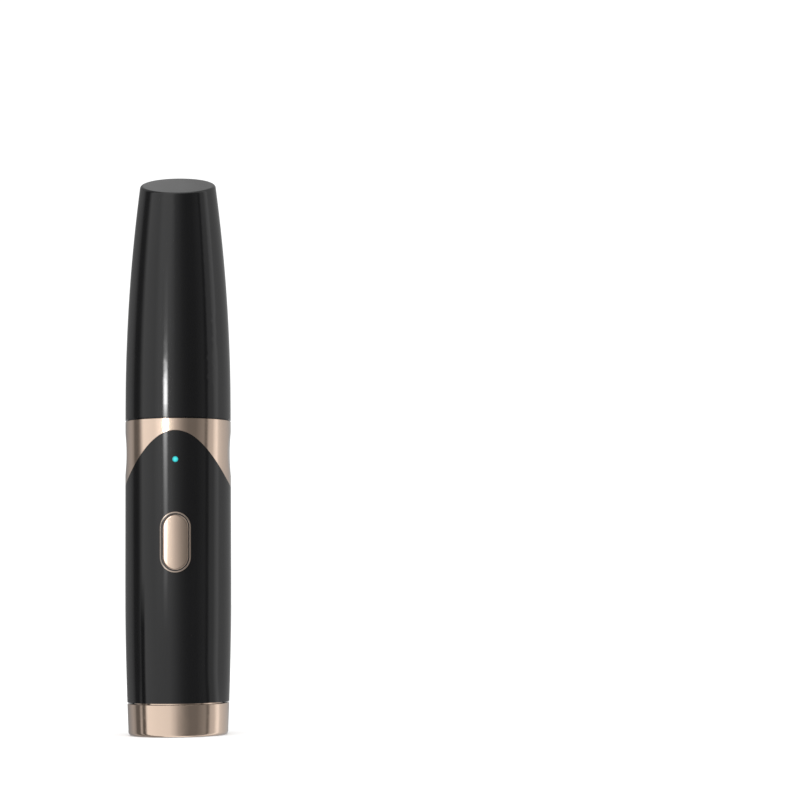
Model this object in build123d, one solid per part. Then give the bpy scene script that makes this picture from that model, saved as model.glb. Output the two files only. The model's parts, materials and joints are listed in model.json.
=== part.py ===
from build123d import *
import math
import os

# A pen-shaped, battery heated eyelash curler with a pull-off cap, standing on its base.
# Millimetres. The origin is the centre of the base, +Z runs up to the comb, and the button faces -Y.

# --- Driving dimensions ---------------------------------------------------------------------
# Handle skin: a straight tube that narrows towards its base along one long arc.
body_radius = 12.0
handle_height = 71.0
taper_drop = 0.8
taper_start = 34.0
body_wall = 1.5
edge_chamfer = 0.12
seam_height = 0.25
seam_depth = 0.45

# Arched line between the black body and the gold collar: a parabola seen from the front.
arch_top = handle_height - 2.8
arch_drop = 12.3
arch_gap = 0.06

# Collar: outer skin above the arch, and a sleeve inside the body.
sleeve_wall = 1.15
dimple_height = handle_height - 7.5
dimple_half_width = 3.85
dimple_half_length = 5.1
dimple_cross_radius = 22.0
dimple_rim = 1.2

# Base: gold band with a black plate, which the charging socket opens through.
base_height = 7.2
base_fillet = 0.8
base_lip = 1.6
plate_thickness = 1.6
band_wall = 1.05
spigot_height = 4.0

# Charging socket (USB-C size) and its round board.
socket_width = 8.94
socket_depth = 3.26
socket_wall = 0.3
socket_recess = 0.3
socket_length = 7.6
tongue_width = 6.7
tongue_thickness = 0.7
tongue_recess = 0.9
socket_clearance = 0.12
board_thickness = 1.0

# Button, its ring and the switch under it.
button_height = 43.2
button_width = 5.4
button_length = 12.0
button_proud = 0.4
button_crown = 8.0
button_gap = 0.15
button_travel = 0.35
ring_width = 0.6
ring_proud = 0.3
flange_overlap = 0.3
flange_thickness = 0.7
switch_size = 5.0
switch_depth = 1.6
plunger_radius = 1.2
plunger_stand = 0.5

# Power light.
light_height = handle_height - 9.3
light_radius = 0.65
light_chip_width = 1.6
light_chip_depth = 0.8

# Chassis, circuit board and battery.
chassis_top = handle_height - 6.5
board_front = -7.0
board_width = 11.6
board_below_button = 9.4
battery_radius = 7.0
battery_length = 43.0
battery_offset = 1.4
battery_wrap = 0.15
window_half_width = 4.0
screw_radius = 0.8
screw_head_radius = 1.3
screw_length = 4.0
screw_offset = 3.5
screw_below_top = 3.4

# Neck that the cap grips, and the nose cone.
neck_height = 4.7
neck_land = 1.5
neck_groove = 0.4
neck_bore = 8.0
spigot_depth = 6.0
cone_wall = 1.3
cone_height = 10.7
cone_top_radius = 5.45
cone_bulge = 0.3
cone_fillet = 0.5
cone_spigot = 3.7
holder_radius = 4.1
holder_flange = 1.5
holder_socket = 7.8

# Comb: a stem and a curved bar, with a toothed guard in front and a heated strip between.
comb_width = 4.2
stem_thickness = 2.77
stem_back = 1.87
comb_back = 3.6
comb_chord = 27.1
stem_length = 8.3
comb_thickness = 2.85
guard_thickness = 0.9
guard_stand_off = 0.27
hood_height = 1.8
hood_length = 4.4
hood_corner = 0.8
hood_round = 0.4
comb_edge_chamfer = 0.15
rail_width = 0.95
tooth_count = 9
tooth_pitch = 2.92
tooth_height = 1.15
tooth_reach = 1.15
heater_recess = 0.15
heater_core_depth = 0.5
channel_width = 2.0

# Wires.
wire_radius = 0.3
battery_wire_radius = 0.45

# Cap.
cap_wall = 1.4
cap_straight = 3.0
cap_arc = 400.0
cap_height = 54.9
cap_slope = 21.2
cap_fillet = 0.7
cap_top_wall = 1.0

# Fits, as gaps on each side.
slide_fit = 0.14
push_fit = 0.05
loose_fit = 0.1

# --- Worked out from them -------------------------------------------------------------------
base_radius = body_radius - taper_drop
sleeve_bottom = button_height + button_length / 2 + 1.3
taper_arc = (taper_start**2 + taper_drop**2) / (2 * taper_drop)
shell_bore = body_radius - body_wall
sleeve_outer = shell_bore - push_fit
sleeve_inner = sleeve_outer - sleeve_wall
neck_radius = body_radius - cap_wall - slide_fit
neck_top = handle_height + neck_height
chassis_radius = sleeve_inner - loose_fit
chassis_bottom = base_height + spigot_height + 0.3
board_back = board_front + board_thickness
board_top = chassis_top - 0.2
board_bottom = button_height - board_below_button
pocket_radius = battery_radius + battery_wrap + loose_fit
battery_bottom = chassis_bottom + 1.0
battery_top = battery_bottom + battery_length
pocket_top = battery_top + 0.8
switch_front = board_front - switch_depth
plunger_top = switch_front - plunger_stand
cone_base = neck_top
cone_top = cone_base + cone_height
comb_low = cone_top + stem_length
comb_middle = comb_low + comb_chord / 2
comb_top = comb_low + comb_chord
arc_sagitta = comb_back - stem_back
back_arc = ((comb_chord / 2) ** 2 + arc_sagitta**2) / (2 * arc_sagitta)
arc_centre = comb_back - back_arc
front_arc = back_arc - comb_thickness
joint_arc = front_arc + guard_thickness
stem_front = stem_back - stem_thickness
guard_back = stem_front - guard_stand_off
guard_front = guard_back - guard_thickness


def skin_radius(z, inset=0.0):
    """Outer radius of the handle at height z, less inset."""
    below = max(0.0, taper_start - z)
    return body_radius - (taper_arc - math.sqrt(taper_arc**2 - below**2)) - inset


def at(r, z):
    """A point of a turned profile."""
    return (r, 0, z)


def skin_edges(low, high, inset=0.0):
    """The handle's skin between two heights, moved in by inset."""
    edges = []
    arc_end = min(high, taper_start)
    if low < arc_end:
        heights = (low, (low + arc_end) / 2, arc_end)
        edges.append(ThreePointArc(*[at(skin_radius(z, inset), z) for z in heights]))
    if high > taper_start:
        start = max(low, taper_start)
        edges.append(Line(at(body_radius - inset, start), at(body_radius - inset, high)))
    return edges


def outline(*pieces):
    """Edges and runs of points joined in order into one closed face."""
    edges = []
    ends = []
    for piece in pieces:
        run = list(piece) if isinstance(piece, list) else [piece]
        for item in run:
            if isinstance(item, tuple):
                ends.append((Vector(*item), Vector(*item)))
            else:
                edges.append(item)
                ends.append((item @ 0, item @ 1))
    for (_, here), (there, _) in zip(ends, ends[1:] + ends[:1]):
        if (there - here).length > 1e-6:
            edges.append(Line(here, there))
    return make_face(edges)


def turned(*pieces):
    """A solid of revolution about Z from a closed profile."""
    return revolve(outline(*pieces), Axis.Z)


def tube(outer, inner, low, high):
    """A plain ring about Z."""
    profile = [at(inner, low), at(outer, low), at(outer, high), at(inner, high)]
    return turned(profile)


def block(x, y, z):
    """A box from three (low, high) pairs."""
    size = [high - low for low, high in (x, y, z)]
    middle = [(low + high) / 2 for low, high in (x, y, z)]
    return Pos(*middle) * Box(*size)


def stadium(width, length, y_low, y_high, z):
    """A round-ended slot shape lying across Y, its length along Z."""
    face = Plane.XZ * Pos(0, z) * Rot(0, 0, 90) * SlotOverall(length, width)
    return Pos(0, y_high, 0) * extrude(face, y_high - y_low)


def side_slab(face, width):
    """A profile in the YZ plane, thickened evenly to both sides of it."""
    return extrude(face, width / 2, dir=(1, 0, 0), both=True)


def comb_edge(radius, start, end):
    """Part of the comb's curve at a radius from its centre, from one height to another."""

    def point(z):
        return (0, arc_centre + math.sqrt(radius**2 - (z - comb_middle) ** 2), z)

    return ThreePointArc(point(start), point((start + end) / 2), point(end))


def above_arch(lift=0.0):
    """Everything above the arched line, which is the same at the front and at the back."""
    reach = body_radius + 2
    fall = arch_drop * (reach / body_radius) ** 2
    ends = arch_top - fall + lift
    curve = Bezier((-reach, 0, ends), (0, 0, arch_top + fall + lift), (reach, 0, ends))
    roof = handle_height + 1
    face = outline(curve, (reach, 0, roof), (-reach, 0, roof))
    return extrude(face, reach, dir=(0, 1, 0), both=True)


def wire(points, radius, bend):
    """A round wire along straight runs with rounded corners."""
    path = FilletPolyline(*points, radius=bend)
    section = Plane(origin=path @ 0, z_dir=path % 0) * Circle(radius)
    return sweep(section, path)


# --- Handle skin ----------------------------------------------------------------------------
band_top_inset = body_wall + push_fit
band_bore = skin_radius(base_height) - band_top_inset - band_wall
plate_radius = base_radius - base_lip
board_disc_radius = band_bore - loose_fit


def make_body_shell():
    """Black tube, arched at the top, with openings for the button ring and the light."""
    shell = turned(
        skin_edges(base_height, arch_top),
        [at(shell_bore, arch_top)],
        [at(shell_bore, taper_start)],
        skin_edges(base_height, taper_start, body_wall)[0],
    )
    shell -= tube(body_radius + 1, skin_radius(base_height) - seam_depth, 0, base_height + seam_height)
    shell -= above_arch()
    opening = stadium(
        button_width + 2 * (button_gap + ring_width + push_fit),
        button_length + 2 * (button_gap + ring_width + push_fit),
        -body_radius - 2,
        0,
        button_height,
    )
    light = Pos(0, 0, light_height) * Rot(90, 0, 0) * Cylinder(
        light_radius + push_fit / 2, body_radius + 2, align=(Align.CENTER, Align.CENTER, Align.MIN)
    )
    return shell - opening - light


def dish_cutter():
    """Cutter for the oval thumb dish in the collar's +X side.

    The dish is hollow along the handle and still slightly rounded across it. Its depth follows
    from the width of the oval, and its roundness along the handle from the length.
    """
    depth = dimple_half_width**2 * (1 / body_radius - 1 / dimple_cross_radius) / 2
    flank = dimple_half_length**2 / (2 * depth)
    near = body_radius - depth
    reach = 1.6 * dimple_half_length
    back = near + flank - math.sqrt(flank**2 - reach**2)
    low = dimple_height - reach
    high = dimple_height + reach
    outside = body_radius + 2
    face = outline(
        ThreePointArc((back, 0, low), (near, 0, dimple_height), (back, 0, high)),
        (outside, 0, high),
        (outside, 0, low),
    )
    turn = 30
    axis = Axis((near - dimple_cross_radius, 0, 0), (0, 0, 1))
    return revolve(face.rotate(axis, -turn / 2), axis, turn)


def make_collar():
    """Gold collar: the skin above the arch, the sleeve behind the body, and two thumb dimples."""
    ring = tube(body_radius, sleeve_inner, sleeve_bottom, handle_height)
    top_edges = ring.edges().filter_by(GeomType.CIRCLE).group_by(Axis.Z)[-1].sort_by(SortBy.RADIUS)
    ring = chamfer(top_edges[-1], edge_chamfer)
    skin = tube(body_radius + 2, sleeve_outer, sleeve_bottom - 1, handle_height + 1)
    ring -= skin - above_arch(arch_gap)
    for side in (0, 180):
        ring -= Rot(0, 0, side) * dish_cutter()
    rims = [
        edge
        for edge in ring.edges()
        if abs(edge.center().Z - dimple_height) < 1.0 and abs(edge.center().X) > body_radius / 2
    ]
    ring = fillet(rims, dimple_rim)
    light = Pos(0, 0, light_height) * Rot(90, 0, 0) * Cylinder(
        light_radius + push_fit / 2, body_radius + 2, align=(Align.CENTER, Align.CENTER, Align.MIN)
    )
    return ring - light


def make_base_band():
    """Gold band that carries the skin down to the base, with a spigot inside the body."""
    spigot_top = base_height + spigot_height
    spigot_radius = skin_radius(base_height) - band_top_inset
    band = turned(
        skin_edges(0, base_height),
        [
            at(spigot_radius, base_height),
            at(spigot_radius, spigot_top),
            at(band_bore, spigot_top),
            at(band_bore, plate_thickness),
            at(plate_radius, plate_thickness),
            at(plate_radius, 0),
        ],
    )
    circles = band.edges().filter_by(GeomType.CIRCLE)
    bottom = circles.group_by(Axis.Z)[0].sort_by(SortBy.RADIUS)[-1]
    band = fillet(bottom, base_fillet)
    seam = [
        edge
        for edge in band.edges().filter_by(GeomType.CIRCLE)
        if abs(edge.center().Z - base_height) < 1e-3 and edge.radius > spigot_radius + 0.1
    ]
    return chamfer(seam, edge_chamfer)


def socket_slot(grow, low, high):
    """The charging socket's round-ended outline, grown by grow, between two heights."""
    face = SlotOverall(socket_width + 2 * grow, socket_depth + 2 * grow)
    return Pos(0, 0, low) * extrude(face, high - low)


def make_base_plate():
    """Black disc flush with the band, open for the charging plug."""
    disc = Cylinder(
        plate_radius - push_fit, plate_thickness, align=(Align.CENTER, Align.CENTER, Align.MIN)
    )
    return disc - socket_slot(socket_clearance, -1, plate_thickness + 1)


# --- Charging socket ------------------------------------------------------------------------
socket_top = socket_recess + socket_length


def make_socket_shell():
    shell = socket_slot(0, socket_recess, socket_top)
    return shell - socket_slot(-socket_wall, socket_recess - 1, socket_top - socket_wall)


def make_socket_tongue():
    low = socket_recess + tongue_recess
    high = socket_top - socket_wall
    return block(
        (-tongue_width / 2, tongue_width / 2),
        (-tongue_thickness / 2, tongue_thickness / 2),
        (low, high),
    )


def make_charge_board():
    return Pos(0, 0, socket_top) * Cylinder(
        board_disc_radius, board_thickness, align=(Align.CENTER, Align.CENTER, Align.MIN)
    )


# --- Button, switch and light ---------------------------------------------------------------
flange_back = plunger_top
flange_front = flange_back - flange_thickness


def curved_front(radius, centre_y, z_span):
    """A long cylinder along Z whose front face trims the button and its ring."""
    return Pos(0, centre_y, button_height) * Cylinder(radius, z_span)


def make_button_ring():
    """Gold ring around the button, standing a little proud of the body."""
    outer_width = button_width + 2 * (button_gap + ring_width)
    outer_length = button_length + 2 * (button_gap + ring_width)
    back = flange_front - flange_overlap / 2
    front = -body_radius - 2
    ring = stadium(outer_width, outer_length, front, back, button_height)
    ring -= stadium(
        button_width + 2 * button_gap, button_length + 2 * button_gap, front - 1, back + 1, button_height
    )
    ring &= curved_front(body_radius + ring_proud, 0, 2 * button_length)
    return ring


def make_button():
    """Gold button with a crowned face, and a flange that keeps it behind its ring."""
    face_y = -(body_radius + button_proud)
    front = face_y - 1
    cap = stadium(button_width, button_length, front, flange_back, button_height)
    cap &= curved_front(button_crown, face_y + button_crown, 2 * button_length)
    face_edges = [
        edge for edge in cap.edges() if edge.bounding_box().max.Y < face_y + button_width / 2
    ]
    cap = fillet(face_edges, 0.25)
    flange = stadium(
        button_width + 2 * flange_overlap,
        button_length + 2 * flange_overlap,
        flange_front,
        flange_back,
        button_height,
    )
    return cap + flange


def make_switch_body():
    """Square tactile switch on the board, hollow under its plunger."""
    half = switch_size / 2
    body = block(
        (-half, half), (switch_front, board_front), (button_height - half, button_height + half)
    )
    well = Pos(0, (switch_front - 1 + board_front - 0.3) / 2, button_height) * Rot(90, 0, 0)
    well *= Cylinder(plunger_radius + loose_fit / 2, board_front - 0.3 - switch_front + 1)
    return body - well


def make_switch_plunger():
    back = board_front - 0.3 - button_travel - loose_fit
    length = back - plunger_top
    return Pos(0, plunger_top + length / 2, button_height) * Rot(90, 0, 0) * Cylinder(
        plunger_radius, length
    )


def make_light_chip():
    half = light_chip_width / 2
    return block(
        (-half, half),
        (board_front - light_chip_depth, board_front),
        (light_height - half / 2, light_height + half / 2),
    )


def make_light_pipe():
    """Clear rod from the light chip to the body's surface."""
    back = board_front - light_chip_depth - push_fit
    length = back + body_radius
    rod = Pos(0, back - length / 2, light_height) * Rot(90, 0, 0) * Cylinder(light_radius, length)
    return rod & Cylinder(body_radius, 2 * handle_height)


# --- Chassis, board and battery -------------------------------------------------------------
def screw_places():
    z = board_top - screw_below_top
    return [(-screw_offset, z), (screw_offset, z)]


def make_chassis():
    """Plastic carrier: a flat front for the board and a round pocket for the battery."""
    height = chassis_top - chassis_bottom
    body = Pos(0, 0, chassis_bottom + height / 2) * Cylinder(chassis_radius, height)
    body -= block(
        (-body_radius, body_radius), (-body_radius, board_back), (chassis_bottom - 1, chassis_top + 1)
    )
    pocket_height = pocket_top - chassis_bottom + 1
    body -= Pos(0, battery_offset, pocket_top - pocket_height / 2) * Cylinder(
        pocket_radius, pocket_height
    )
    body -= block(
        (-window_half_width, window_half_width),
        (board_back - 1, battery_offset),
        (chassis_bottom + 2, pocket_top - 2),
    )
    body -= block((-3, 3), (board_back - 1, battery_offset), (pocket_top - 1, chassis_top + 1))
    for x, z in screw_places():
        body -= Pos(x, board_back + screw_length / 2, z) * Rot(90, 0, 0) * Cylinder(
            screw_radius, screw_length
        )
    return body


def make_circuit_board():
    half = board_width / 2
    board = block((-half, half), (board_front, board_back), (board_bottom, board_top))
    for x, z in screw_places():
        board -= Pos(x, board_front, z) * Rot(90, 0, 0) * Cylinder(screw_radius, 4)
    return board


def make_board_screws():
    """Two pan-head screws that hold the board to the chassis."""
    screws = []
    for x, z in screw_places():
        shank_length = screw_length + board_thickness - loose_fit
        shank = Pos(x, board_front + shank_length / 2, z) * Rot(90, 0, 0) * Cylinder(
            screw_radius - 0.02, shank_length
        )
        head = Pos(x, board_front - 0.4, z) * Rot(90, 0, 0) * Cylinder(screw_head_radius, 0.8)
        slot = block((x - 0.2, x + 0.2), (board_front - 1, board_front - 0.45), (z - 0.8, z + 0.8))
        cross = block((x - 0.8, x + 0.8), (board_front - 1, board_front - 0.45), (z - 0.2, z + 0.2))
        screws.append(shank + head - slot - cross)
    return Compound(screws)


def make_board_chips():
    """The control chip, the charging chip, a coil and small parts, each its own solid."""
    places = [
        (-1.2, 10.3, 4.0, 4.0, 0.9),
        (2.9, 10.8, 2.6, 2.8, 1.0),
        (-3.6, -5.5, 2.6, 2.6, 0.8),
        (1.6, -6.1, 3.2, 3.0, 1.2),
        (4.4, 3.9, 1.0, 1.8, 0.6),
        (-4.4, 3.9, 1.0, 1.8, 0.6),
    ]
    chips = []
    for x, above_button, wide, tall, thick in places:
        z = button_height + above_button
        chips.append(
            block(
                (x - wide / 2, x + wide / 2),
                (board_front - thick, board_front),
                (z - tall / 2, z + tall / 2),
            )
        )
    return Compound(chips)


def make_battery_cell():
    """Lithium cell with a small raised terminal."""
    can = Pos(0, battery_offset, battery_bottom + battery_length / 2) * Cylinder(
        battery_radius, battery_length
    )
    can = fillet(can.edges().filter_by(GeomType.CIRCLE), 0.6)
    knob = Pos(0, battery_offset, battery_top + 0.2) * Cylinder(2.5, 0.4)
    return can + knob


def make_battery_sleeve():
    """Printed film around the cell's side."""
    sleeve = tube(
        battery_radius + battery_wrap, battery_radius, battery_bottom + 0.7, battery_top - 0.7
    )
    return Pos(0, battery_offset, 0) * sleeve


# --- Neck and nose --------------------------------------------------------------------------
def make_neck():
    """Ring that the cap grips: a spigot in the collar, a land, a groove and a snap bead."""
    spigot_radius = sleeve_inner - push_fit
    groove_radius = neck_radius - neck_groove
    land_top = handle_height + neck_land
    groove_low = land_top + 1.0
    bead_low = groove_low + 0.6
    bead_high = neck_top - 0.2
    bead = ThreePointArc(
        at(groove_radius, bead_low),
        at(neck_radius, (bead_low + bead_high) / 2),
        at(groove_radius, bead_high),
    )
    return turned(
        [
            at(neck_bore, handle_height - spigot_depth),
            at(spigot_radius, handle_height - spigot_depth),
            at(spigot_radius, handle_height),
            at(neck_radius, handle_height),
            at(neck_radius, land_top),
            at(groove_radius, groove_low),
        ],
        bead,
        [at(groove_radius, neck_top), at(neck_bore, neck_top)],
    )


def make_nose_cone():
    """Hollow cone over the comb's root, plugged into the neck, with a slot for the comb."""
    base_r = neck_radius - neck_groove - 0.06
    top_face = cone_top - cone_wall - 0.3
    mid_z = (cone_base + cone_top) / 2
    mid_r = (base_r + cone_top_radius) / 2 + cone_bulge
    plug_r = neck_bore - push_fit
    bore_r = plug_r - 1.05
    side = ThreePointArc(at(base_r, cone_base), at(mid_r, mid_z), at(cone_top_radius, cone_top))
    cone = turned(
        [at(bore_r, cone_base - cone_spigot), at(plug_r, cone_base - cone_spigot), at(plug_r, cone_base)],
        side,
        [
            at(0, cone_top),
            at(0, top_face),
            at(cone_top_radius - cone_wall + 0.1, top_face),
            at(mid_r - cone_wall, mid_z),
            at(bore_r, cone_base + 0.5),
        ],
    )
    rim = cone.edges().filter_by(GeomType.CIRCLE).group_by(Axis.Z)[-1]
    cone = fillet(rim, cone_fillet)
    half = comb_width / 2 + push_fit
    return cone - block(
        (-half, half),
        (guard_front - push_fit, stem_back + push_fit),
        (top_face - 1, cone_top + 1),
    )


holder_top = cone_top - cone_wall - 0.3
root_bottom = holder_top - holder_socket
flange_bottom = cone_base - cone_spigot


def make_comb_holder():
    """Heat-proof block that grips the comb's root inside the cone."""
    height = holder_top - flange_bottom
    body = Pos(0, 0, flange_bottom + height / 2) * Cylinder(holder_radius, height)
    flange_radius = neck_bore - push_fit - 1.05 - push_fit
    body += Pos(0, 0, flange_bottom + holder_flange / 2) * Cylinder(flange_radius, holder_flange)
    half = comb_width / 2 + push_fit
    body -= block(
        (-half, half), (guard_front - push_fit, stem_back + push_fit), (root_bottom, holder_top + 1)
    )
    bore_height = root_bottom - flange_bottom + 2
    return body - Pos(0, 0, flange_bottom - 1 + bore_height / 2) * Cylinder(2.0, bore_height)


# --- Comb -----------------------------------------------------------------------------------
bar_top = comb_top
joint_low = comb_low + 2.2
gap_top = comb_low + 1.0
core_low = comb_low + 2.6
core_high = bar_top - 1.4
lead_lane = stem_front + 0.42
heater_lane = arc_centre + math.sqrt(joint_arc**2 - (core_low - comb_middle) ** 2) + 0.25


def make_comb_bar():
    """Stem and curved back of the comb, with a channel for the heater and its wires."""
    face = outline(
        (0, stem_front, root_bottom),
        (0, stem_back, root_bottom),
        comb_edge(back_arc, comb_low, bar_top),
        comb_edge(joint_arc, bar_top, joint_low),
        (0, stem_front, gap_top),
    )
    bar = side_slab(face, comb_width)
    long_edges = [
        edge
        for edge in bar.edges()
        if abs(abs(edge.center().X) - comb_width / 2) < 1e-6
        and edge.center().Y > stem_front + 1.5
        and root_bottom + 0.1 < edge.center().Z < bar_top - 0.1
    ]
    bar = fillet(long_edges, 0.6)
    half = channel_width / 2
    front = stem_front - 0.5
    run = block((-half, half), (front, stem_front + 0.8), (root_bottom - 1, comb_low))
    bend = block((-half, half), (front, heater_lane + 0.4), (comb_low - 0.3, core_low + 0.1))
    curved = arc_strip(
        joint_arc - 0.5,
        joint_arc + heater_core_depth + push_fit,
        core_low - push_fit,
        core_high + push_fit,
        channel_width,
    )
    return bar - run - bend - curved


def arc_strip(inner, outer, low, high, width):
    """A strip that follows the comb's curve, between two radii and two heights."""
    face = outline(comb_edge(inner, low, high), comb_edge(outer, high, low))
    return side_slab(face, width)


def make_heater_core():
    """Heating element in the bar's channel."""
    return arc_strip(
        joint_arc + heater_core_depth, joint_arc, core_low, core_high, channel_width - 2 * push_fit
    )


def make_heater_plate():
    """Smooth warm strip between the two rows of teeth."""
    width = comb_width - 2 * rail_width - 2 * push_fit
    return arc_strip(front_arc + heater_recess, joint_arc, core_low, core_high, width)


def make_comb_guard():
    """Toothed guard: two rails with a row of teeth each, a hood at the tip and a thin leg."""
    leg_bottom = holder_top - 3.0
    face = outline(
        (0, guard_front, leg_bottom),
        (0, guard_front, comb_low - 2.6),
        (0, guard_back - 0.35, gap_top - 0.5),
        (0, guard_back - 0.2, gap_top + 0.9),
        comb_edge(front_arc, joint_low + 0.7, bar_top),
        comb_edge(joint_arc, bar_top, joint_low),
        (0, guard_back, gap_top),
        (0, guard_back, leg_bottom),
    )
    guard = side_slab(face, comb_width)
    long_edges = [edge for edge in guard.edges() if abs(edge.center().X) > comb_width / 2 - 0.01]
    front_edges = [edge for edge in long_edges if edge.length > 2 and edge.center().Z < bar_top - 0.1]
    guard = chamfer(front_edges, comb_edge_chamfer)
    window = comb_width - 2 * rail_width
    guard -= arc_strip(
        front_arc - 0.5, joint_arc + 0.01, core_low - push_fit, core_high + push_fit, window
    )
    first = comb_low + 1.35
    teeth = []
    for i in range(tooth_count):
        for side in (1, -1):
            teeth.append(make_tooth(side, first + i * tooth_pitch, i == 0))
    return guard.fuse(*teeth, make_hood())


def make_tooth(side, z, on_leg):
    """A tapered tooth on one rail, square to the comb's curve; the lowest stands on the leg."""
    rise = z - comb_middle
    root = arc_centre + math.sqrt(front_arc**2 - rise**2)
    lean = math.degrees(math.asin(rise / front_arc))
    if on_leg:
        root = guard_back - 0.3
        lean = 0
    half = tooth_height / 2
    face = outline(
        (0, 0.25, -half),
        (0, 0.25, half),
        (0, 0, half),
        (0, -tooth_reach, half - 0.25),
        (0, -tooth_reach, 0.25 - half),
        (0, 0, -half),
    )
    tooth = side_slab(face, rail_width)
    nose = [edge for edge in tooth.edges() if edge.center().Y < -0.1]
    tooth = chamfer(nose, 0.12)
    return Pos(side * (comb_width - rail_width) / 2, root, z) * Rot(lean, 0, 0) * tooth


def make_hood():
    """Rounded hood over the comb's tip, whose front edge is the foremost tooth."""
    top = bar_top + hood_height
    rear = arc_centre + math.sqrt(back_arc**2 - (bar_top - comb_middle) ** 2)
    crown = ThreePointArc(
        (0, rear + 0.15, top - 1.2), (0, rear - 2.1, top), (0, rear - hood_length, top - 1.45)
    )
    face = outline(
        crown,
        (0, rear - hood_length + 0.1, top - 1.85),
        (0, rear - hood_length + 1.3, bar_top),
        (0, rear, bar_top),
    )
    hood = side_slab(face, comb_width)
    middle = rear + 0.15 - (hood_length + 0.15) / 2
    plan = Pos(0, middle, bar_top - 1) * RectangleRounded(comb_width, hood_length + 0.15, hood_corner)
    hood &= extrude(plan, hood_height + 2)
    crown_face = hood.faces().sort_by(Axis.Z)[-1]
    return fillet(crown_face.edges(), hood_round)


# --- Wires ----------------------------------------------------------------------------------
def make_heater_leads():
    """Two wires from the heater, down through the holder and the neck, to the board."""
    leads = []
    for side in (1, -1):
        points = [
            (side * 0.5, heater_lane, core_low),
            (side * 0.5, heater_lane, core_low - 0.5),
            (side * 0.5, lead_lane, comb_low + 0.1),
            (side * 0.5, lead_lane, root_bottom + 0.5),
            (side * 1.1, 0.6, flange_bottom + 2.0),
            (side * 1.1, 0.6, handle_height - 2.0),
            (side * 1.6, -2.5, chassis_top - 1.8),
            (side * 1.6, board_back, chassis_top - 1.8),
        ]
        leads.append(wire(points, wire_radius, 0.4))
    return Compound(leads)


def make_battery_lead(side):
    """A wire from the cell's top to the back of the board."""
    across = pocket_top + 1.6
    points = [
        (side * 1.2, 0.2, battery_top + 0.4),
        (side * 1.2, 0.2, across),
        (side * 1.2, board_back, across),
    ]
    return wire(points, battery_wire_radius, 0.8)


def make_charge_leads():
    """Two wires up the front of the chassis, from the charging board to the circuit board."""
    y = board_front - battery_wire_radius - 0.02
    low = socket_top + board_thickness
    leads = []
    for side in (1, -1):
        length = board_bottom + 1.5 - low
        leads.append(Pos(side * 3.6, y, low + length / 2) * Cylinder(battery_wire_radius, length))
    return Compound(leads)


# --- Cap ------------------------------------------------------------------------------------
def cap_radius(z, inset=0.0):
    above = max(0.0, z - handle_height - cap_straight)
    return body_radius - (cap_arc - math.sqrt(cap_arc**2 - above**2)) - inset


def cap_form(inset, low, crown_height):
    """The cap's round form, inset from its skin, cut by the slanted plane at crown_height."""
    high = handle_height + cap_height + body_radius
    start = handle_height + cap_straight
    heights = (start, (start + high) / 2, high)
    form = turned(
        [at(0, low), at(body_radius - inset, low)],
        ThreePointArc(*[at(cap_radius(z, inset), z) for z in heights]),
        [at(0, high)],
    )
    above = Pos(0, 0, crown_height) * Rot(cap_slope, 0, 0) * Pos(0, 0, body_radius * 2) * Box(
        body_radius * 6, body_radius * 6, body_radius * 4
    )
    return form - above


def make_cap():
    """Pull-off cap with a slanted top, low at the front and high at the back."""
    crown = handle_height + cap_height
    outside = cap_form(0, handle_height, crown)
    outside -= tube(body_radius + 1, body_radius - seam_depth, 0, handle_height + seam_height)
    top_face = outside.faces().filter_by(GeomType.PLANE).sort_by(Axis.Z)[-1]
    outside = fillet(top_face.edges(), cap_fillet)
    ceiling = crown - cap_top_wall / math.cos(math.radians(cap_slope))
    return outside - cap_form(cap_wall, handle_height - 1, ceiling)


def main():
    parts = {
        "body_shell": make_body_shell(),
        "collar": make_collar(),
        "base_band": make_base_band(),
        "base_plate": make_base_plate(),
        "charge_socket_shell": make_socket_shell(),
        "charge_socket_tongue": make_socket_tongue(),
        "charge_board": make_charge_board(),
        "button_ring": make_button_ring(),
        "button": make_button(),
        "switch_body": make_switch_body(),
        "switch_plunger": make_switch_plunger(),
        "light_chip": make_light_chip(),
        "light_pipe": make_light_pipe(),
        "chassis": make_chassis(),
        "circuit_board": make_circuit_board(),
        "board_screws": make_board_screws(),
        "board_chips": make_board_chips(),
        "battery_cell": make_battery_cell(),
        "battery_sleeve": make_battery_sleeve(),
        "neck": make_neck(),
        "nose_cone": make_nose_cone(),
        "comb_holder": make_comb_holder(),
        "comb_bar": make_comb_bar(),
        "comb_guard": make_comb_guard(),
        "heater_core": make_heater_core(),
        "heater_plate": make_heater_plate(),
        "heater_leads": make_heater_leads(),
        "battery_lead_red": make_battery_lead(1),
        "battery_lead_black": make_battery_lead(-1),
        "charge_leads": make_charge_leads(),
        "cap": make_cap(),
    }
    os.makedirs("parts", exist_ok=True)
    for name, shape in parts.items():
        export_step(shape, f"parts/{name}.step")


main()
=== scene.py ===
import json
import math

import bpy
from mathutils import Euler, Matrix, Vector


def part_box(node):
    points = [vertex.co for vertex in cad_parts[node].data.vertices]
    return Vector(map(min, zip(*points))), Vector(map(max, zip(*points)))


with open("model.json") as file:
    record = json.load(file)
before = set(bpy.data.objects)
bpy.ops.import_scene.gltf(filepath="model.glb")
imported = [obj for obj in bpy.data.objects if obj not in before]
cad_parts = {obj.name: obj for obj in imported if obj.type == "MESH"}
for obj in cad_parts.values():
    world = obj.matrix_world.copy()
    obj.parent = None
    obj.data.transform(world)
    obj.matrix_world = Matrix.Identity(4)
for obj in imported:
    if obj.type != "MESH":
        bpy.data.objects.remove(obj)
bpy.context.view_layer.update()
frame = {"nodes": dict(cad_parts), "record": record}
nodes = frame["nodes"]
scene = bpy.context.scene


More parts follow.
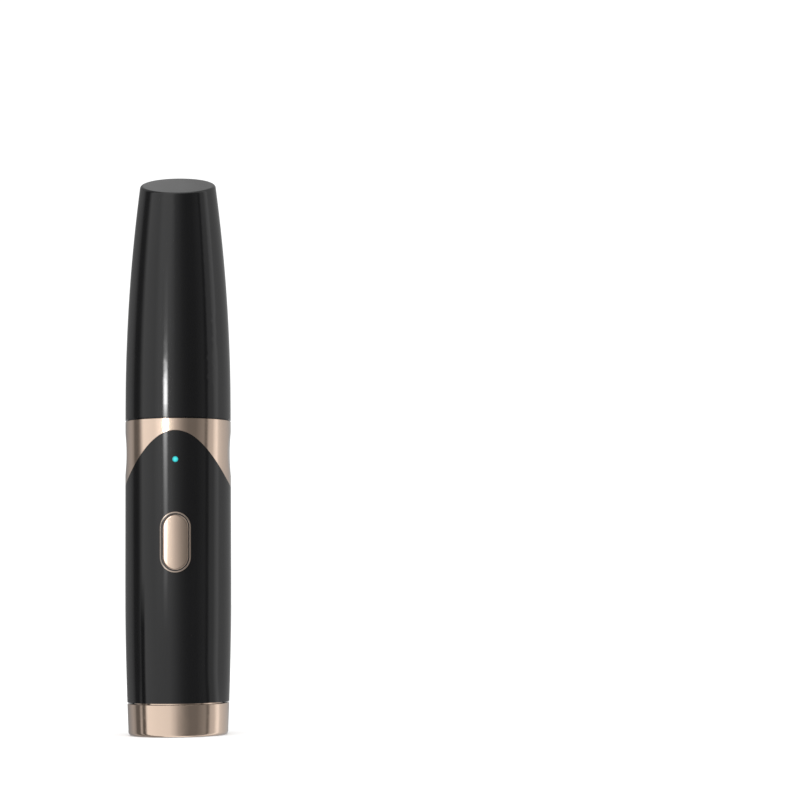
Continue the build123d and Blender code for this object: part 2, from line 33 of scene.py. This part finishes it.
# --- Node helpers -------------------------------------------------------------------------------
class Graph:
    """A material's node tree with short calls for the nodes that the materials share."""

    def __init__(self, name, shader="ShaderNodeBsdfPrincipled"):
        self.material = bpy.data.materials.new(name)
        self.material.use_nodes = True
        self.tree = self.material.node_tree
        self.tree.nodes.clear()
        self.shader = self.add(shader)
        self.link(self.shader.outputs[0], self.add("ShaderNodeOutputMaterial").inputs["Surface"])
        self.coords = self.add("ShaderNodeTexCoord").outputs["Object"]

    def add(self, kind):
        return self.tree.nodes.new(kind)

    def link(self, source, target):
        self.tree.links.new(source, target)

    def put(self, socket, value):
        """Links an output to a socket, or sets the socket's own value."""
        if isinstance(value, bpy.types.NodeSocket):
            self.link(value, socket)
        elif isinstance(value, tuple) and len(value) == 3 and socket.type == "RGBA":
            socket.default_value = (*value, 1.0)
        else:
            socket.default_value = value

    def set(self, **values):
        """Sets the shader's sockets; an underscore in a name stands for a space."""
        for name, value in values.items():
            self.put(self.shader.inputs[name.replace("_", " ")], value)

    def axes(self):
        """X, Y and Z of the point being shaded, in metres."""
        split = self.add("ShaderNodeSeparateXYZ")
        self.link(self.coords, split.inputs[0])
        return split.outputs["X"], split.outputs["Y"], split.outputs["Z"]

    def stretched(self, scale):
        node = self.add("ShaderNodeMapping")
        self.link(self.coords, node.inputs["Vector"])
        node.inputs["Scale"].default_value = scale
        return node.outputs["Vector"]

    def noise(self, scale, detail=3.0, roughness=0.55, stretch=None):
        node = self.add("ShaderNodeTexNoise")
        self.link(self.stretched(stretch) if stretch else self.coords, node.inputs["Vector"])
        node.inputs["Scale"].default_value = scale
        node.inputs["Detail"].default_value = detail
        node.inputs["Roughness"].default_value = roughness
        return node.outputs["Fac"]

    def voronoi(self, scale, feature="F1", stretch=None):
        node = self.add("ShaderNodeTexVoronoi")
        node.feature = feature
        self.link(self.stretched(stretch) if stretch else self.coords, node.inputs["Vector"])
        node.inputs["Scale"].default_value = scale
        return node.outputs["Distance"]

    def ramp(self, value, low, high, start=0.0, end=1.0):
        """Maps value from low..high to start..end, clamped."""
        node = self.add("ShaderNodeMapRange")
        self.put(node.inputs["Value"], value)
        node.inputs["From Min"].default_value = low
        node.inputs["From Max"].default_value = high
        node.inputs["To Min"].default_value = start
        node.inputs["To Max"].default_value = end
        return node.outputs["Result"]

    def spread(self, noise, start=0.0, end=1.0):
        """Maps the range where a noise mostly stays to start..end."""
        usual_low, usual_high = 0.3, 0.7
        return self.ramp(noise, usual_low, usual_high, start, end)

    def window(self, value, edges):
        """A level that runs straight from edge to edge; edges are (position, level) pairs."""
        node = self.add("ShaderNodeValToRGB")
        self.link(value, node.inputs["Fac"])
        marks = node.color_ramp.elements
        while len(marks) > 1:
            marks.remove(marks[-1])
        for k, (position, level) in enumerate(edges):
            mark = marks[0] if k == 0 else marks.new(position)
            mark.position = position
            mark.color = (level, level, level, 1.0)
        return node.outputs["Color"]

    def math(self, operation, first, second=0.0):
        node = self.add("ShaderNodeMath")
        node.operation = operation
        self.put(node.inputs[0], first)
        self.put(node.inputs[1], second)
        return node.outputs[0]

    def length(self, first, second):
        """Length of the diagonal over two sides at right angles."""
        squares = [self.math("POWER", side, 2.0) for side in (first, second)]
        return self.math("SQRT", self.math("ADD", *squares))

    def mix(self, factor, first, second):
        node = self.add("ShaderNodeMix")
        node.data_type = "RGBA"
        self.put(node.inputs["Factor"], factor)
        self.put(node.inputs["A"], first)
        self.put(node.inputs["B"], second)
        return node.outputs["Result"]

    def bump(self, height, strength, distance):
        node = self.add("ShaderNodeBump")
        self.link(height, node.inputs["Height"])
        node.inputs["Strength"].default_value = strength
        node.inputs["Distance"].default_value = distance
        return node.outputs["Normal"]

    def slot_reach(self, node):
        """For a slot-shaped piece: the distance from its centre line, the radius of its round
        ends and the sideways place."""
        low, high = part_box(node)
        sideways, _, height = self.axes()
        radius = (high.x - low.x) / 2
        straight = (high.z - low.z) / 2 - radius
        middle = (low.z + high.z) / 2
        above = self.math("ABSOLUTE", self.math("SUBTRACT", height, middle))
        along = self.math("MAXIMUM", self.math("SUBTRACT", above, straight), 0.0)
        return self.length(sideways, along), radius, sideways

    def finish(self, normal=None):
        if normal is not None:
            self.link(normal, self.shader.inputs["Normal"])
        return self.material


# --- Materials ----------------------------------------------------------------------------------
# Calls read g.noise(scale, detail, roughness), g.ramp(value, low, high, start, end) and
# g.bump(height, strength, distance). Scales are per metre; distances and edges are in metres.
def darker(tint, share):
    return tuple(share * value for value in tint)


def gloss_black(name="gloss_black", rough_low=0.075, rough_high=0.125):
    """Polished black plastic: faint moulding flow, orange peel and hairline scratches."""
    g = Graph(name)
    flow = g.noise(60, 2.0, 0.5, stretch=(1.0, 1.0, 0.25))
    smudge = g.noise(140, 4.0, 0.62)
    hair = g.noise(900, 2.0, 0.5, stretch=(1.0, 1.0, 0.03))
    peel = g.noise(420, 1.0, 0.4)
    tint = g.mix(g.ramp(flow, 0.35, 0.65), (0.0030, 0.0030, 0.0033), (0.0042, 0.0042, 0.0046))
    rough = g.ramp(smudge, 0.42, 0.72, rough_low, rough_high)
    rough = g.math("ADD", rough, g.ramp(hair, 0.68, 0.8, 0.0, 0.05))
    g.set(Base_Color=tint, Roughness=rough, IOR=1.5)
    return g.finish(g.bump(peel, 0.04, 0.00004))


def rose_gold(name="rose_gold", crowned=False):
    """Satin rose gold metal under a clear coat: drifting tint and fine brushing round the axis.

    The button's is crowned: its normal follows the handle's skin, and it has no brushed bump.
    """
    g = Graph(name)
    drift = g.noise(45, 3.0, 0.5)
    brush = g.noise(260, 3.0, 0.6, stretch=(0.35, 0.35, 14.0))
    smudge = g.noise(170, 4.0, 0.6)
    tint = g.mix(g.spread(drift), (0.735, 0.556, 0.432), (0.775, 0.590, 0.462))
    rough = g.ramp(smudge, 0.35, 0.75, 0.10, 0.15)
    rough = g.math("ADD", rough, g.ramp(brush, 0.45, 0.75, 0.0, 0.04))
    g.set(Base_Color=tint, Metallic=1.0, Roughness=rough)
    g.set(Coat_Weight=1.0, Coat_Roughness=0.06, Coat_IOR=1.7)
    if crowned:
        normal = crown_normal(g)
        g.set(Coat_Normal=normal)
        return g.finish(normal)
    return g.finish(g.bump(brush, 0.05, 0.00003))


def crown_normal(g):
    """The button's crown shades like the handle's skin around it; its rounded rim stays itself."""
    crown_edge, rim_edge = 0.00052, 0.00038  # inwards from the outline
    reach, radius, _ = g.slot_reach("button")
    outward = g.add("ShaderNodeVectorMath")
    outward.operation = "MULTIPLY"
    g.link(g.coords, outward.inputs[0])
    outward.inputs[1].default_value = (1.0, 1.0, 0.0)
    unit = g.add("ShaderNodeVectorMath")
    unit.operation = "NORMALIZE"
    g.link(outward.outputs[0], unit.inputs[0])
    surface = g.add("ShaderNodeNewGeometry")
    blend = g.add("ShaderNodeMix")
    blend.data_type = "VECTOR"
    g.link(g.ramp(reach, radius - crown_edge, radius - rim_edge), blend.inputs["Factor"])
    g.link(unit.outputs[0], blend.inputs[4])
    g.link(surface.outputs["Normal"], blend.inputs[5])
    return blend.outputs[1]


def button_bezel():
    """Button surround: a thin rose gold line with painted side light, round a groove painted dark
    as shade.
    """
    groove_edge, line_edge = 0.00034, 0.00024  # inwards from the outline
    # Painted shade: the groove is coloured near-black for the shade in the gap where the bezel
    # meets the button.
    gap_shade_black = (0.010, 0.009, 0.009)
    # Painted light: the gold line is coloured darker on its left and lighter on its right, as the
    # light falls.
    shaded_left_gold, lit_right_gold = (0.22, 0.19, 0.165), (0.90, 0.72, 0.60)
    g = Graph("button_bezel")
    reach, radius, sideways = g.slot_reach("button_ring")
    line = g.ramp(reach, radius - groove_edge, radius - line_edge)
    # Painted side light: the gold runs from the shaded left colour to the lit right colour across
    # the bezel.
    gold = g.mix(g.ramp(sideways, -radius, radius), shaded_left_gold, lit_right_gold)
    rough = g.spread(g.noise(300, 3.0, 0.5), 0.12, 0.18)
    # The groove shows painted shade and the gold line shows painted side light.
    g.set(Base_Color=g.mix(line, gap_shade_black, gold), Metallic=line, Roughness=rough)
    return g.finish()


def satin_black():
    """Spark-eroded black plastic: a fine even grain that breaks up its highlights."""
    g = Graph("satin_black")
    grain = g.noise(2600, 2.0, 0.6)
    patch = g.noise(220, 3.0, 0.5)
    tint = g.mix(g.spread(patch), (0.0065, 0.0065, 0.00676), (0.008775, 0.008775, 0.0091))
    g.set(Base_Color=tint, Roughness=g.spread(grain, 0.26, 0.38), IOR=1.48)
    return g.finish(g.bump(grain, 0.18, 0.00005))


def heater_coat():
    """Dark non-stick coat on thin metal: fine rolling lines and small specks."""
    g = Graph("heater_coat")
    rolling = g.noise(500, 3.0, 0.6, stretch=(6.0, 1.0, 0.3))
    speck = g.voronoi(1500)
    tint = g.mix(g.ramp(speck, 0.02, 0.10), (0.22, 0.20, 0.19), (0.065, 0.060, 0.058))
    g.set(Base_Color=tint, Metallic=0.6, Roughness=g.spread(rolling, 0.28, 0.42))
    return g.finish(g.bump(rolling, 0.1, 0.00003))


def steel(name, tint=(0.62, 0.61, 0.59), rough=0.24):
    """Plated steel: drawn lines along its length and slight mottling."""
    g = Graph(name)
    drawn = g.noise(600, 3.0, 0.6, stretch=(5.0, 5.0, 0.25))
    mottle = g.noise(350, 3.0, 0.5)
    colour = g.mix(g.spread(mottle), darker(tint, 0.86), tint)
    g.set(Base_Color=colour, Metallic=1.0, Roughness=g.spread(drawn, rough - 0.05, rough + 0.08))
    return g.finish(g.bump(drawn, 0.08, 0.00002))


def plastic(name, tint, rough=0.5, grain_scale=1500, grain_depth=0.15):
    """Moulded plastic: grain, a little colour drift and uneven gloss."""
    g = Graph(name)
    grain = g.noise(grain_scale, 2.0, 0.55)
    drift = g.noise(160, 3.0, 0.5)
    colour = g.mix(g.spread(drift), darker(tint, 0.85), tint)
    g.set(Base_Color=colour, Roughness=g.spread(grain, rough - 0.08, rough + 0.08))
    return g.finish(g.bump(grain, grain_depth, 0.00004))


def solder_mask():
    """Circuit board: green mask over lighter copper tracks."""
    g = Graph("solder_mask")
    tracks = g.voronoi(900, "DISTANCE_TO_EDGE", stretch=(1.0, 1.0, 0.6))
    mask = g.ramp(tracks, 0.05, 0.09)
    colour = g.mix(mask, (0.030, 0.150, 0.070), (0.012, 0.075, 0.035))
    g.set(Base_Color=colour, Roughness=0.28)
    return g.finish(g.bump(mask, 0.2, 0.00003))


def lit_lens():
    """Clear cyan lens, lit from behind: brightest at its middle, deeper towards its rim."""
    middle_glow, rim_glow = (0.07, 0.80, 0.78), (0.0, 0.10, 0.11)
    g = Graph("lit_lens")
    low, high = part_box("light_pipe")
    sideways, _, height = g.axes()
    radius = (high.x - low.x) / 2
    middle = (low.z + high.z) / 2
    across = g.math("DIVIDE", sideways, radius)
    up = g.math("DIVIDE", g.math("SUBTRACT", height, middle), radius)
    ripple = g.spread(g.noise(3000, 2.0), -0.08, 0.08)
    from_middle = g.math("ADD", g.length(across, up), ripple)
    g.set(
        Base_Color=(0.01, 0.22, 0.24),
        Roughness=g.spread(g.noise(1800, 2.0), 0.12, 0.2),
        Emission_Color=g.mix(g.ramp(from_middle, 0.40, 1.0), middle_glow, rim_glow),
        Emission_Strength=0.75,
    )
    return g.finish()


def battery_film():
    """Shrink film: satin blue with faint ridges where it has drawn in."""
    g = Graph("battery_film")
    ridge = g.noise(180, 4.0, 0.6, stretch=(1.0, 1.0, 0.3))
    colour = g.mix(g.ramp(ridge, 0.35, 0.65), (0.045, 0.130, 0.320), (0.060, 0.165, 0.380))
    g.set(Base_Color=colour, Roughness=g.spread(ridge, 0.22, 0.34))
    return g.finish(g.bump(ridge, 0.15, 0.00005))


def wear(piece, look):
    """Gives a piece one material for all its faces."""
    piece.data.materials.clear()
    piece.data.materials.append(look)


looks = {
    "black_gloss": gloss_black(),
    "rose_gold": rose_gold(),
    "black_satin": satin_black(),
    "heatproof_plastic": plastic("heatproof_plastic", (0.50, 0.47, 0.42), 0.55),
    "chassis_plastic": plastic("chassis_plastic", (0.075, 0.080, 0.086), 0.5),
    "heater_metal": heater_coat(),
    "ceramic_heater": plastic("ceramic_heater", (0.78, 0.76, 0.71), 0.6, 2200, 0.2),
    "nickel_steel": steel("nickel_steel"),
    "switch_steel": steel("switch_steel", (0.50, 0.50, 0.50), 0.3),
    "board_green": solder_mask(),
    "chip_black": plastic("chip_black", (0.022, 0.022, 0.024), 0.45, 2600, 0.1),
    "light_chip_white": plastic("light_chip_white", (0.75, 0.80, 0.79), 0.35),
    "cyan_lens": lit_lens(),
    "battery_film": battery_film(),
    "wire_red": plastic("wire_red", (0.42, 0.018, 0.015), 0.42, 1200, 0.1),
    "wire_black": plastic("wire_black", (0.018, 0.018, 0.018), 0.42, 1200, 0.1),
}
for subpart in frame["record"]["subparts"]:
    wear(nodes[subpart["node"]], looks[subpart["material_slot"]])

# Four pieces differ a little from the rest of their slot.
own_looks = {
    "button_ring": button_bezel(),
    "button": rose_gold("rose_gold_button", crowned=True),
    "neck": gloss_black("gloss_black_neck", 0.10, 0.16),
    "nose_cone": gloss_black("gloss_black_cone", 0.11, 0.18),
}
for name, look in own_looks.items():
    wear(nodes[name], look)


# --- Camera -------------------------------------------------------------------------------------
# The place and the three angles are a scratch script's fit to points measured on the photo.
camera_place = Vector((0.0288, -0.5091, 0.0316))
camera_pitch = math.radians(4.945)
camera_heading = math.radians(2.483)
camera_roll = math.radians(-0.542)

camera_data = bpy.data.cameras.new("camera")
camera_data.lens = 100.0
camera_data.sensor_width = 36.0
camera_data.clip_start = 0.01
camera_data.clip_end = 20.0
camera = bpy.data.objects.new("camera", camera_data)
camera.location = camera_place
ahead = Vector((math.sin(camera_heading), math.cos(camera_heading), math.tan(camera_pitch)))
upright = ahead.to_track_quat("-Z", "Y")
camera.rotation_mode = "QUATERNION"
camera.rotation_quaternion = upright @ Euler((0.0, 0.0, camera_roll)).to_quaternion()
scene.collection.objects.link(camera)
scene.camera = camera


# --- Studio -------------------------------------------------------------------------------------
scene.view_settings.view_transform = "Standard"
scene.view_settings.look = "None"

world = bpy.data.worlds.new("studio")
scene.world = world
world.use_nodes = True
background = world.node_tree.nodes["Background"]
background.inputs["Color"].default_value = (1.0, 1.0, 1.0, 1.0)
background.inputs["Strength"].default_value = 1.12


def mesh_object(name, verts, faces):
    mesh = bpy.data.meshes.new(name)
    mesh.from_pydata(verts, [], faces)
    mesh.update()
    made = bpy.data.objects.new(name, mesh)
    scene.collection.objects.link(made)
    return made


def make_floor():
    """A plain pale floor that runs out past every view and is not seen in reflections."""
    reach = 6.0
    floor = mesh_object(
        "floor",
        [(-reach, -reach, 0), (reach, -reach, 0), (reach, reach, 0), (-reach, reach, 0)],
        [(0, 1, 2, 3)],
    )
    g = Graph("floor_paper")
    tone = g.mix(g.spread(g.noise(8, 3.0)), (0.925, 0.925, 0.925), (0.935, 0.935, 0.935))
    g.set(Base_Color=tone, Roughness=0.9, Specular_IOR_Level=0.0)
    floor.data.materials.append(g.finish())
    floor.visible_glossy = False


# The surround is an upright open tube round the curler, in metres.
surround_radius = 0.17
surround_low = -0.50
surround_high = 0.60
surround_sides = 180

# Its brightness round the curler: (degrees from the main camera, level). Left is negative.
# Source: these rows and lamp_heights were thinned and rounded by hand from numbers that a scratch
# script worked out from the photo's brightness. The rules don't allow that; see report.md.
surround_bands = [
    (-180, 0.41),
    (-150, 0.26),
    (-122, 0.42),
    (-113, 0.34),
    (-107, 0.13),
    (-97, 0.12),
    (-91, 0.20),
    (-86, 0.60),
    (-80, 1.08),
    (-52, 0.98),
    (-36, 0.95),
    (-19, 0.90),
    (-10, 0.70),
    (0, 0.46),
    (6, 0.33),
    (13, 0.23),
    (22, 0.17),
    (38, 0.17),
    (55, 0.29),
    (58, 0.26),
    (60, 0.14),
    (64, 0.16),
    (68, 0.55),
    (79, 0.62),
    (84, 0.95),
    (91, 1.18),
    (97, 0.74),
    (111, 0.58),
    (140, 0.42),
    (180, 0.41),
]

# How strong the narrow lamp is up the surround: (height in metres, share of lamp_strength).
lamp_heights = [
    (0.018, 0.0),
    (0.028, 0.012),
    (0.0577, 0.085),
    (0.0695, 0.15),
    (0.0767, 0.22),
    (0.0845, 0.30),
    (0.0865, 1.0),
    (0.0970, 0.9),
    (0.110, 0.10),
    (0.124, 0.02),
    (0.160, 0.0),
]


def surround_look():
    """Glow of the ring: bands by angle, with a lamp, a card and a gap that also end by height."""
    band_scale = 2.0
    near_floor_squeeze = -0.09
    lamp_strength = 28.0
    glow_strength = 0.30
    gap_strength = 0.35
    uneven_scale = 40.0
    uneven_strength = 0.5

    g = Graph("studio_surround", "ShaderNodeEmission")
    x, y, z = g.axes()

    # Half turns from -1 to 1: 0 faces the main camera, negative is to its left.
    towards = math.atan2(camera_place.x, -camera_place.y)
    c, s = math.cos(towards), math.sin(towards)
    forward = g.math("ADD", g.math("MULTIPLY", x, s), g.math("MULTIPLY", y, -c))
    right = g.math("ADD", g.math("MULTIPLY", x, c), g.math("MULTIPLY", y, s))
    turn = g.math("DIVIDE", g.math("ARCTAN2", right, forward), math.pi)
    tall = surround_high - surround_low
    rise = g.math("DIVIDE", g.math("SUBTRACT", z, surround_low), tall)

    def between_heights(edges):
        return g.window(rise, [((height - surround_low) / tall, level) for height, level in edges])

    # Right of the camera, the bands close up a little near the floor.
    near_floor = between_heights([(-0.009, 1.0), (0.001, 0.0)])
    squeeze = g.math("MULTIPLY", near_floor, near_floor_squeeze)
    rightward = g.math("MAXIMUM", turn, 0.0)
    turn = g.math("ADD", turn, g.math("MULTIPLY", rightward, squeeze))
    place = g.math("ADD", g.math("MULTIPLY", turn, 0.5), 0.5)

    def between_angles(edges):
        return g.window(place, [((degrees / 180 + 1) / 2, level) for degrees, level in edges])

    def times(first, second, strength):
        return g.math("MULTIPLY", g.math("MULTIPLY", first, second), strength)

    # The bands are held as shares of band_scale, so that they stay under 1.
    shares = [(degrees, level / band_scale) for degrees, level in surround_bands]
    base = g.math("MULTIPLY", between_angles(shares), band_scale)

    # One narrow lamp, left of the camera, that is strongest a little above the collar's height.
    lamp = between_angles([(-32.5, 0.0), (-28.5, 1.0), (-25.0, 1.0), (-21.0, 0.0)])
    lamp_level = times(lamp, between_heights(lamp_heights), lamp_strength)

    # A soft glow round the lamp, gone near the floor.
    glow = between_angles([(-52, 0.0), (-41, 1.0), (-18, 1.0), (-6, 0.0)])
    glow_level = times(glow, between_heights([(0.010, 0.0), (0.064, 1.0)]), glow_strength)

    # A dark card and a thin light gap beside it, low on the left.
    card = between_angles([(-88, 0.0), (-85.5, 1.0), (-78, 1.0), (-74, 0.0)])
    card_heights = between_heights([(0.020, 0.9), (0.038, 0.0)])
    open_part = g.math("SUBTRACT", 1.0, g.math("MULTIPLY", card, card_heights))
    base = g.math("MULTIPLY", base, open_part)
    gap = between_angles([(-95, 0.0), (-92, 1.0), (-91, 1.0), (-88, 0.0)])
    base = g.math("ADD", base, times(gap, near_floor, gap_strength))

    # Behind the curler the wall is a little uneven, as the slanted top shows.
    uneven = g.math("SUBTRACT", g.noise(uneven_scale, 2.0, 0.5), 0.5)
    behind = between_angles([(-170, 1.0), (-150, 0.0), (150, 0.0), (170, 1.0)])
    drift = g.math("MULTIPLY", uneven, uneven_strength)
    base = g.math("ADD", base, g.math("MULTIPLY", behind, drift))

    g.set(Strength=g.math("ADD", g.math("ADD", base, lamp_level), glow_level))
    return g.finish()


def make_surround():
    """A ring of soft boxes and dark screens that only reflections see.

    Its brightness follows the angle round the curler, counted from the main camera, so that the
    tube shows the upright bands of a product studio.
    """
    verts, faces = [], []
    for i in range(surround_sides):
        angle = 2 * math.pi * i / surround_sides
        for z in (surround_low, surround_high):
            verts.append((surround_radius * math.cos(angle), surround_radius * math.sin(angle), z))
    for i in range(surround_sides):
        j = (i + 1) % surround_sides
        faces.append((2 * i, 2 * i + 1, 2 * j + 1, 2 * j))
    ring = mesh_object("studio_surround", verts, faces)
    ring.data.materials.append(surround_look())
    ring.visible_camera = False
    ring.visible_diffuse = False
    ring.visible_shadow = False
    ring.visible_transmission = False


def make_top_fill():
    """A wide soft lamp high above and a little in front, unseen in reflections."""
    wide, watts = 1.0, 6.0
    place, aim = Vector((0.0, -0.25, 1.2)), Vector((0.0, 0.0, 0.05))
    light = bpy.data.lights.new("top_fill", "AREA")
    light.shape = "RECTANGLE"
    light.size = wide
    light.size_y = wide
    light.energy = watts
    lamp = bpy.data.objects.new("top_fill", light)
    lamp.location = place
    lamp.rotation_euler = (aim - place).to_track_quat("-Z", "Y").to_euler()
    lamp.visible_camera = False
    lamp.visible_glossy = False
    scene.collection.objects.link(lamp)


make_floor()
make_surround()
make_top_fill()
